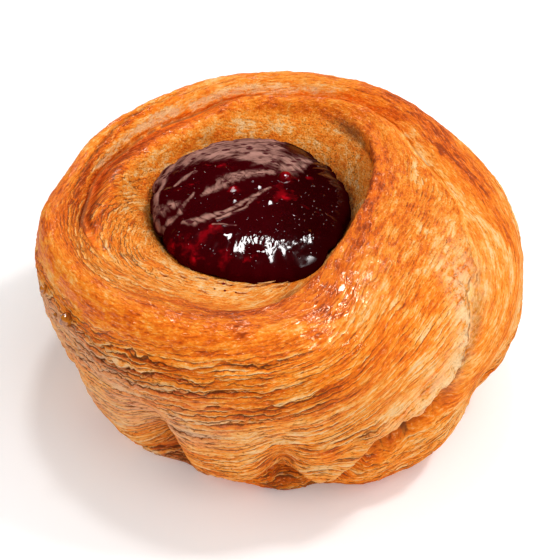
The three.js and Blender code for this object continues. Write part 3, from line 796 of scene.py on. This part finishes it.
def makeJam():
    columns = jam["columns"]
    direction = np.arange(columns) * 360 / columns
    points = railPoints(direction)
    edgeRail = jam["edgeRail"] - sumOfBells([jam["overRun"]], direction)
    bottom = splineThrough(points, np.linspace(lastRail, edgeRail, jam["rowsUnder"] + 1, axis=1))
    bottom[..., 2] -= jam["sink"]
    centre = np.array([*dough["bowl"], 0.0])
    edge = bottom[:, -1:]
    climb = (np.arange(1, jam["rowsDome"] + 1) / jam["rowsDome"]) * math.pi / 2
    inward = np.maximum(np.cos(climb), 0) ** jam["edgeRounding"] + jam["bulge"] * hump(climb, 0.35, 0.22)
    inward = inward[None, :, None]
    dome = centre + (edge - centre) * inward
    crown = (np.sin(climb) ** jam["crown"])[None, :]
    dome[..., 2] = edge[..., 2] * (1 - crown) + jam["topHeight"] * crown
    surface = np.concatenate([bottom, dome], 1)
    angle = np.radians(direction)
    waver = layeredGrain(6 * np.cos(angle), 6 * np.sin(angle), 0 * direction + 12.5, 3)
    pull = 1 - (sumOfBells(jam["gaps"], direction) + jam["uneven"] * ramp(waver, 0.3, 0.8))[:, None]
    surface[..., 0] = centre[0] + (surface[..., 0] - centre[0]) * pull
    surface[..., 1] = centre[1] + (surface[..., 1] - centre[1]) * pull
    normal, _ = gridNormals(surface)
    x, y, z = surface[..., 0], surface[..., 1], surface[..., 2]

    def overDome(below, above):  # one value under the jam, a row of them up its dome
        return np.concatenate([np.full((columns, jam["rowsUnder"] + 1), below), above + 0 * dome[..., 0]], 1)

    onTop = overDome(0.0, ramp(crown, 0.0, 0.16))
    rim = overDome(1.0, ramp(crown, 0.72, 0.4))
    u, v = x - dough["bowl"][0], y - dough["bowl"][1]

    # folds of the skin, which carry the painted reflection
    bend = layeredGrain(x / 3, y / 3, 0 * z + 2.5, 3) - 0.5
    sway = layeredGrain(x / 3 + 7, y / 3, 0 * z + 8.5, 3) - 0.5
    across, back = u + jam["wander"] * sway, v + jam["wander"] * bend
    folds = np.max([alongRun(across, back, run) for run in jam["folds"]], 0)
    behind = ramp(v + 1.6 * bend - np.interp(u, jam["backAcross"], jam["backEdge"]), -1.4, 2.2)
    behind = behind * (1 - 0.75 * ramp(u, 5, 10) * ramp(v, 9.5, 13))
    swell = layeredGrain(x / 8 + 9, y / 8, z / 8, 2) - 0.5
    pulp = layeredGrain(x / 2.8 + 9, y / 2.8, z / 2.8, 2) - 0.5
    filmAndReflection = np.maximum(folds, behind)
    besideFolds = np.max([alongRun(across, back, run, jam["dullReach"]) for run in jam["folds"]], 0)
    dulled = np.maximum(besideFolds, behind)
    bx, by, beadSize, beadHigh = jam["bead"]
    bead = np.sqrt(np.maximum(1 - ((u - bx) ** 2 + (v - by) ** 2) / beadSize ** 2, 0)) * beadHigh
    dots = sum(jam["dotHeight"] * hump(np.hypot(u - du, v - dv), 0, jam["dotSize"]) for du, dv in jam["dots"])
    height = jam["foldHeight"] * (folds + 0.6 * behind) + jam["swell"] * swell
    height = height + jam["pulp"] * pulp * (1 - 0.7 * filmAndReflection)
    surface = surface + normal * (onTop * (height + dots) + bead)[..., None]
    filmAndReflection, dulled = filmAndReflection * onTop * (bead <= 0), dulled * onTop * (bead <= 0)
    rippled = sum(hump(u, ru, wide) * hump(v, rv, deep) for ru, rv, wide, deep in jam["ripples"])
    glow = sum(power * hump(np.hypot(u - gu, v - gv), 0, reach) for gu, gv, reach, power in jam["glows"])
    weave = np.stack([jam["weaveRadius"] * np.arctan2(u, v), np.hypot(u, v), 0 * u], -1)  # round the dome and out
    return surface, dict(
        skin=filmAndReflection, dulled=dulled, weave=weave, lee=ramp(u, 1, 15) * onTop, glow=glow, rim=rim,
        rippled=rippled * onTop)


jamLook = dict(
    deep=(0.036, 0.0004, 0.0014), shaded=(0.018, 0.0003, 0.0006), red=(0.60, 0.004, 0.012),
    # the skin colour is a painted reflection
    skin=(0.43, 0.215, 0.170), pit=(0.070, 0.012, 0.014),
    roughness=0.09, specular=0.40, ior=1.42, dullRoughness=0.8,
    glowDepth=0.15, glowRadius=(1.0, 0.12, 0.1), glowScale=0.002,
)


def jamMaterial():
    paper = Paper("darkJam")
    field, between, blend = paper.attribute, paper.between, paper.blend
    place = paper.place()
    lumps = paper.grain(place, 0.30, 3.0, 0.6, 0.4)
    pips = paper.grain(place, 0.62, 2.0, 0.6)
    lee, glow, filmAndReflection = (field(name) for name in ("lee", "glow", "skin"))
    # painted shadow of the lip: the jam darkens toward the right and its red lumps dull there
    colour = blend(between(lee + 0.9 * (lumps - 0.5), 0.0, 1.0), jamLook["deep"], jamLook["shaded"])
    cells = paper.cells(place, 0.42)
    lit = between(lumps + 0.50 * glow + 0.6 * (pips - 0.5), 0.66, 1.10)
    redness = lit * (0.35 + 0.65 * between(cells + 0.3 * (pips - 0.5), 0.55, 0.15))
    colour = blend(redness * (1 - 0.5 * lee), colour, jamLook["red"])
    combed = paper.grain(paper.scaled(field("weave", "Vector"), (0.13, 0.75, 1.0)), 1.0, 4.0, 0.6, 0.7)
    seeds = paper.cells(paper.scaled(place, (0.36, 0.72, 0.72)), 1.0)
    pits = between(seeds + 0.5 * (pips - 0.5), 0.36, 0.20)
    # painted reflection on the skin, stronger and weaker in streaks
    reflectionStrength = between(0.80 * filmAndReflection + 2.4 * (combed - 0.5) + 0.7 * (pips - 0.5), 0.20, 1.30)
    colour = blend(reflectionStrength * filmAndReflection, colour, jamLook["skin"])
    colour = blend(pits * filmAndReflection, colour, jamLook["pit"])
    bubbles = paper.cells(place, 0.8)
    waves = paper.grain(paper.scaled(place, (0.95, 0.42, 0.42)), 1.0, 1.0, 0.5, 0.9)
    bump = paper.bump(0.10 * between(bubbles, 0.22, 0.05) + 0.34 * waves * field("rippled"))
    wet = paper.principled({
        "Base Color": colour, "Roughness": jamLook["roughness"], "IOR": jamLook["ior"], "Normal": bump,
        "Specular IOR Level": jamLook["specular"], "Subsurface Weight": jamLook["glowDepth"],
        "Subsurface Radius": jamLook["glowRadius"], "Subsurface Scale": jamLook["glowScale"]})
    dull = paper.principled({
        "Base Color": colour, "Roughness": jamLook["dullRoughness"], "Specular IOR Level": 0.0})
    share = between(field("rim") + 1.3 * field("dulled"), 0.0, 1.0)
    return paper.output(paper.add("ShaderNodeMixShader", {}, {0: share, 1: wet, 2: dull}))


# small things lying on the pastry

bits = dict(
    drops=[  # direction, rail, half length round, up and out of the surface
        (201.2, 5.72, 0.65, 1.05, 0.75), (213.1, 5.72, 1.15, 1.60, 1.25), (207.5, 5.4, 0.45, 0.6, 0.40),
    ],
    flakes=[  # by the jam's front edge: direction, rail, half length, half width, lift, turn in degrees
        (279, 9.62, 1.9, 0.55, 0.35, 10), (284, 9.45, 1.5, 0.40, 0.45, -15), (286.5, 9.30, 0.9, 0.30, 0.60, 35),
        (272, 9.68, 1.6, 0.45, 0.25, 5), (262, 9.70, 1.2, 0.35, 0.25, -8), (258.5, 9.66, 0.7, 0.35, 0.4, 30),
        (250, 9.60, 1.3, 0.40, 0.25, 12), (243, 9.50, 1.0, 0.35, 0.25, -10), (268, 9.45, 1.4, 0.35, 0.22, 6),
        (254, 9.40, 1.2, 0.30, 0.22, -5), (236, 9.35, 1.1, 0.35, 0.25, 14),
    ],
    specks=[  # jam droplets: direction, rail, half size
        (259.5, 9.60, 0.34), (261.5, 9.55, 0.26), (263.5, 9.60, 0.22), (266, 9.52, 0.18), (257, 9.55, 0.20),
        (270, 9.6, 0.16),
    ],
    dropLift=0.35, dropRough=0.25, flakeThick=0.07, flakeBend=0.25, flakeRough=0.5,
    speckHigh=0.7, speckLift=0.3, speckRough=0.2,
)


def frameOn(surface, marks, direction, rail):  # a spot on the dough: where, round it, up it and out of it
    column = int(round(direction / 360 * len(surface))) % len(surface)
    row = int(np.argmin(np.abs(marks["rail"][0] - rail)))
    smooth = np.stack([smoothRows(surface[..., axis], 6) for axis in range(3)], -1)
    around = smooth[(column + 3) % len(surface), row] - smooth[column - 3, row]
    upward = smooth[column, row + 3] - smooth[column, row - 3]
    around = around / np.linalg.norm(around)
    out = np.cross(around, upward)
    out = out / np.linalg.norm(out)
    return surface[column, row], around, np.cross(out, around), out


def blob(spot, half, turn=0.0, lift=0.0, bend=0.0, rough=0.0, seed=0, columns=28, rows=17):
    where, around, upward, out = spot
    angle = np.arange(columns)[:, None] * 2 * math.pi / columns
    tilt = np.linspace(0, math.pi, rows)[None, :]
    a, b, c = np.sin(tilt) * np.cos(angle), np.sin(tilt) * np.sin(angle), -np.cos(tilt) + 0 * angle
    size = 1 + rough * (2 * layeredGrain(1.3 * a + seed, 1.3 * b + seed, 1.3 * c + 5, 2) - 1)
    x, y, z = half[0] * a * size, half[1] * b * size, half[2] * c * size
    z = z + lift + bend * (x / half[0]) ** 2
    turn = math.radians(turn)
    x, y = x * math.cos(turn) - y * math.sin(turn), x * math.sin(turn) + y * math.cos(turn)
    return where + x[..., None] * around + y[..., None] * upward + z[..., None] * out


bitLook = dict(
    amber=(0.55, 0.18, 0.014), amberDark=(0.20, 0.045, 0.005),
    flake=(0.90, 0.50, 0.22), flakeDark=(0.62, 0.24, 0.06), droplet=(0.16, 0.004, 0.008),
)


def bitMaterial(name, light, dark, scale, roughness, specular):
    paper = Paper(name)
    place = paper.place()
    colour = paper.blend(paper.between(paper.grain(place, scale, 2.0, 0.6), 0.35, 0.65), light, dark)
    shader = paper.principled({"Base Color": colour, "Roughness": roughness, "Specular IOR Level": specular})
    return paper.output(shader)


# set: pale floor, soft light, camera

studio = dict(
    floorSize=3.0, floorColour=(0.97, 0.97, 0.97), floorRoughness=0.8, floorGlow=0.12,
    world=(1.0, 1.0, 1.0), worldStrength=0.14,
    lampTarget=(0, 0, 0.025),
    elevation=40.0, distance=0.42, clip=(0.01, 20), aim=(-0.0006, 0.0005, 0.0236), lens=131.25,
    lamps=[  # name, towards, distance, size, watts, seen in reflections
        ("key", (0.54, 0.12, 0.83), 0.80, 0.09, 2.2, True),
        ("softKey", (0.50, -0.05, 0.86), 1.00, 1.10, 3.9, False),
        ("top", (0.03, 0.20, 0.98), 0.80, 0.10, 1.4, False),
        ("back", (-0.10, 0.98, 0.17), 1.00, 0.40, 1.2, False),
        ("fill", (0.22, -0.80, 0.56), 1.20, 1.50, 8.7, False),
        ("left", (-0.85, -0.10, 0.50), 1.20, 1.30, 4.6, False),
    ],
    sheens=[  # lamps that only glint: name, towards, distance, size, watts, on what
        ("sheenBack", (0.05, 0.77, 0.64), 0.80, 0.22, 4.4, "crust"),
        ("sheenSide", (0.51, -0.46, 0.72), 0.80, 0.24, 6.0, "crust"),
        ("sheenTop", (0.10, 0.30, 0.94), 0.80, 0.16, 2.6, "crust"),
        ("sheenLeft", (-0.28, 0.15, 0.95), 0.80, 0.18, 3.2, "crust"),
        ("glint", (0.06, 0.27, 0.96), 0.80, 0.29, 12.0, "jam"),
    ],
)


def aim(thing, target, back, away):  # looks at the target from a distance
    thing.location = Vector(target) + back * away
    thing.rotation_mode = "QUATERNION"
    thing.rotation_quaternion = back.to_track_quat("Z", "Y")


def addLamp(name, towards, away, size, power):
    light = bpy.data.lights.new(name, "AREA")
    light.energy = power
    light.size = size
    lamp = putIn(name, light)
    aim(lamp, studio["lampTarget"], Vector(towards).normalized(), away)
    return lamp


def addSheens(piece, kind):
    lit = bpy.data.collections.new(kind + "Glints")
    lit.objects.link(piece)
    for *make, sort in studio["sheens"]:
        if sort == kind:
            lamp = addLamp(*make)
            lamp.visible_diffuse = False
            lamp.light_linking.receiver_collection = lit


def makeStudio():
    half = studio["floorSize"] / 2
    mesh = bpy.data.meshes.new("floor")
    mesh.from_pydata([(-half, -half, 0), (half, -half, 0), (half, half, 0), (-half, half, 0)], [], [(0, 1, 2, 3)])
    floor = putIn("floor", mesh)
    paper = Paper("paleFloor")
    mesh.materials.append(paper.output(paper.principled({
        "Base Color": studio["floorColour"], "Roughness": studio["floorRoughness"],
        "Emission Color": (1.0, 1.0, 1.0), "Emission Strength": studio["floorGlow"]})))

    world = bpy.data.worlds.new("softRoom")
    world.use_nodes = True
    background = world.node_tree.nodes["Background"]
    background.inputs["Color"].default_value = (*studio["world"], 1)
    background.inputs["Strength"].default_value = studio["worldStrength"]
    bpy.context.scene.world = world
    world.cycles_visibility.glossy = False

    for *make, mirrored in studio["lamps"]:
        addLamp(*make).visible_glossy = mirrored

    camera = bpy.data.cameras.new("camera")
    camera.lens = studio["lens"]
    camera.clip_start, camera.clip_end = studio["clip"]
    viewer = putIn("camera", camera)
    rise = math.radians(studio["elevation"])
    aim(viewer, studio["aim"], Vector((0, -math.cos(rise), math.sin(rise))), studio["distance"])
    bpy.context.scene.camera = viewer
    bpy.context.scene.view_settings.view_transform = "Standard"


makeStudio()
print("studio ready")

surface, marks = makeDough()
crustFields = (
    "strata", "browning", "dry", "cavity", "glaze", "shade", "streaked", "ochre", "crumb", "join", "seam",
    "rolled", "combed", "fluted", "broadSheet", "fineSheet", "broadOpen", "fineOpen")
pastry = meshFromGrids("woundPastry", [(surface, {name: marks[name] for name in crustFields})])
pastry.data.materials.append(crustMaterial())
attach(pastry, "root")
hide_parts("pastry")
addSheens(pastry, "crust")
print("pastry", len(pastry.data.polygons), "faces")

jamSurface, jamMarks = makeJam()
filling = meshFromGrids("jamFilling", [(jamSurface, jamMarks)])
filling.data.materials.append(jamMaterial())
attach(filling, "root")
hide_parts("jam")
addSheens(filling, "jam")
print("jam", len(filling.data.polygons), "faces")

drops = [blob(frameOn(surface, marks, at, rail), (a, b, c), lift=bits["dropLift"] * c,
              rough=bits["dropRough"], seed=at)
         for at, rail, a, b, c in bits["drops"]]
flakes = [blob(frameOn(surface, marks, at, rail), (long, wide, bits["flakeThick"]), turn, lift,
               bits["flakeBend"], bits["flakeRough"], at)
          for at, rail, long, wide, lift, turn in bits["flakes"]]
specks = [blob(frameOn(surface, marks, at, rail), (size, size, bits["speckHigh"] * size),
               lift=bits["speckLift"] * size, rough=bits["speckRough"], seed=at)
          for at, rail, size in bits["specks"]]
amber = bitMaterial("amberGlaze", bitLook["amber"], bitLook["amberDark"], 0.9, 0.10, 1.0)
dryFlake = bitMaterial("dryFlake", bitLook["flake"], bitLook["flakeDark"], 1.2, 0.6, 0.1)
droplet = bitMaterial("jamDroplet", bitLook["droplet"], bitLook["droplet"], 1.0, 0.08, 0.5)
for name, shapes, slot, material in (
        ("amberDrops", drops, None, amber), ("looseFlakes", flakes, "crust", dryFlake),
        ("jamDroplets", specks, "jam", droplet)):
    piece = meshFromGrids(name, [(shape, {}) for shape in shapes])
    piece.data.materials.append(material)
    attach(piece, "root")
    if slot:
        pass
    else:
        bpy.data.collections["crustGlints"].objects.link(piece)
    print(name, len(piece.data.polygons), "faces")
